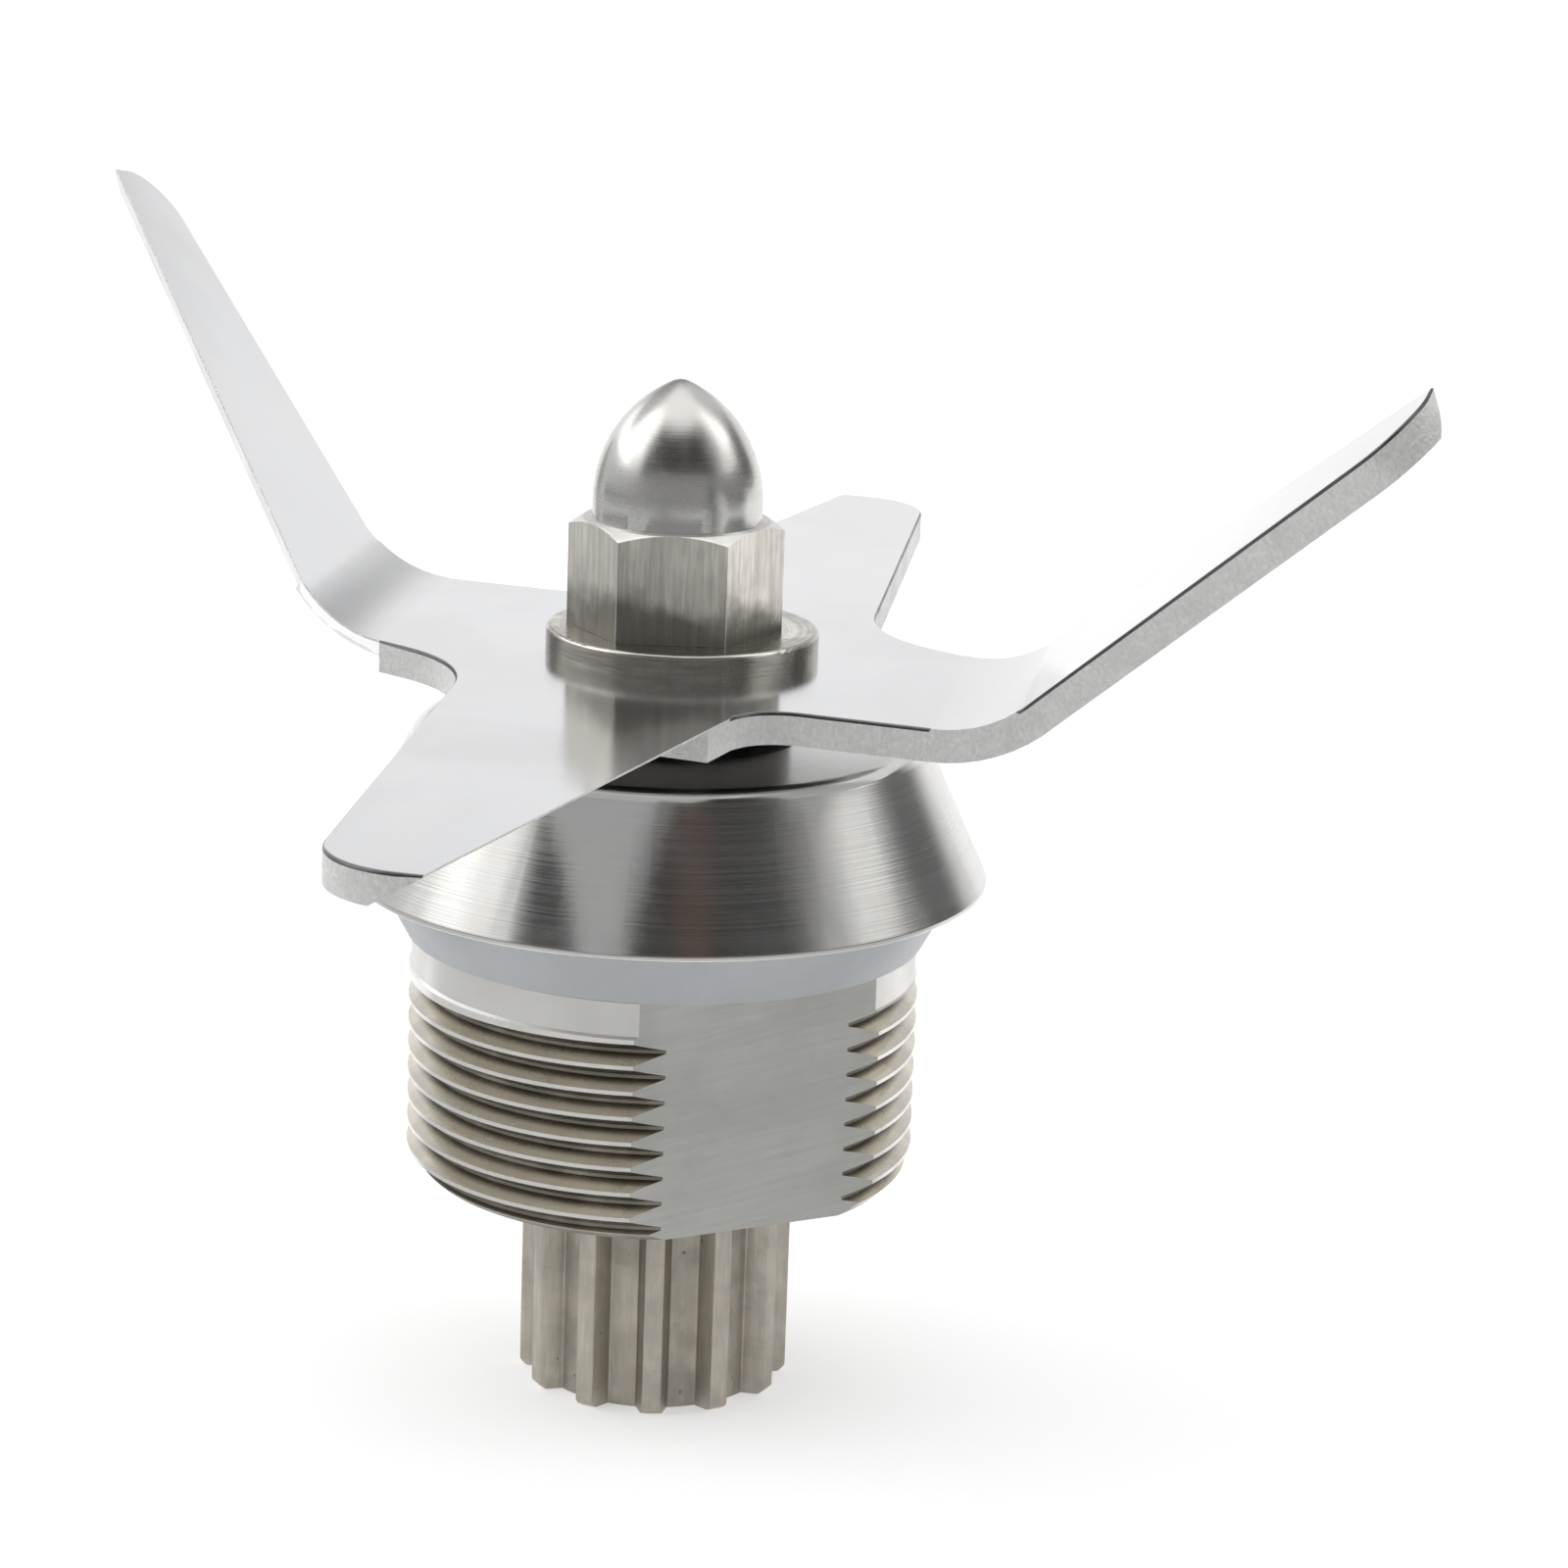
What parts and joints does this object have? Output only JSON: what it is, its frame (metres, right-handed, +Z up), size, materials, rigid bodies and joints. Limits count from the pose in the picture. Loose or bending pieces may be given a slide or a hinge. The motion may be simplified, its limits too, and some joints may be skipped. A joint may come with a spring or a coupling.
{
  "type": "blender blade assembly",
  "caption": "Blade assembly for a jug blender: a bent four-armed cutter on a shaft that turns in a threaded bearing housing, with a gasket and a toothed drive gear.",
  "frame": {"origin": "on the spin axis, at the lower end of the drive gear that the assembly stands on", "axes": "+Z up along the spin axis, from the drive gear to the cap nut; +X to the viewer's right in the picture, +Y away from the viewer"},
  "size_m": [0.0738, 0.0984, 0.0668],
  "materials": {
    "blade_steel": "polished stainless sheet with sheared edges",
    "turned_steel": "machined stainless steel",
    "gear_steel": "sintered steel, dull and slightly rough",
    "housing_steel": "turned stainless steel with fine round brushing",
    "bearing_steel": "ground bearing steel",
    "white_silicone": "soft white silicone",
    "black_rubber": "moulded nitrile rubber"
  },
  "bodies": {
    "housing": {"bearing_housing": "housing_steel", "jar_gasket": "white_silicone", "shaft_seal": "black_rubber", "seal_garter_spring": "bearing_steel", "bearing_outer_spacer": "turned_steel", "bearing_shim": "bearing_steel", "retaining_ring": "bearing_steel", "lower_bearing_outer_ring": "bearing_steel", "lower_bearing_bottom_shield": "bearing_steel", "lower_bearing_top_shield": "bearing_steel", "upper_bearing_outer_ring": "bearing_steel", "upper_bearing_bottom_shield": "bearing_steel", "upper_bearing_top_shield": "bearing_steel"},
    "rotor": {"drive_shaft": "turned_steel", "drive_gear": "gear_steel", "blade": "blade_steel", "blade_hub": "turned_steel", "nut_washer": "turned_steel", "cap_nut": "turned_steel", "seal_sleeve": "turned_steel", "bearing_inner_spacer": "turned_steel", "lower_bearing_inner_ring": "bearing_steel", "upper_bearing_inner_ring": "bearing_steel"},
    "lower_ball_set": {"lower_bearing_balls": "bearing_steel", "lower_bearing_cage": "bearing_steel"},
    "upper_ball_set": {"upper_bearing_balls": "bearing_steel", "upper_bearing_cage": "bearing_steel"}
  },
  "joints": [
    {"name": "shaft_spin", "type": "hinge", "parent": "housing", "child": "rotor", "pos_m": [0, 0, 0.02], "axis": [0, 0, 1], "continuous": true},
    {"name": "lower_ball_orbit", "type": "hinge", "parent": "housing", "child": "lower_ball_set", "pos_m": [0, 0, 0.0201], "axis": [0, 0, 1], "continuous": true},
    {"name": "upper_ball_orbit", "type": "hinge", "parent": "housing", "child": "upper_ball_set", "pos_m": [0, 0, 0.0311], "axis": [0, 0, 1], "continuous": true}
  ],
  "couplings": [
    {"joint": "lower_ball_orbit", "follows": "shaft_spin", "ratio": 0.3677},
    {"joint": "upper_ball_orbit", "follows": "shaft_spin", "ratio": 0.3677}
  ]
}
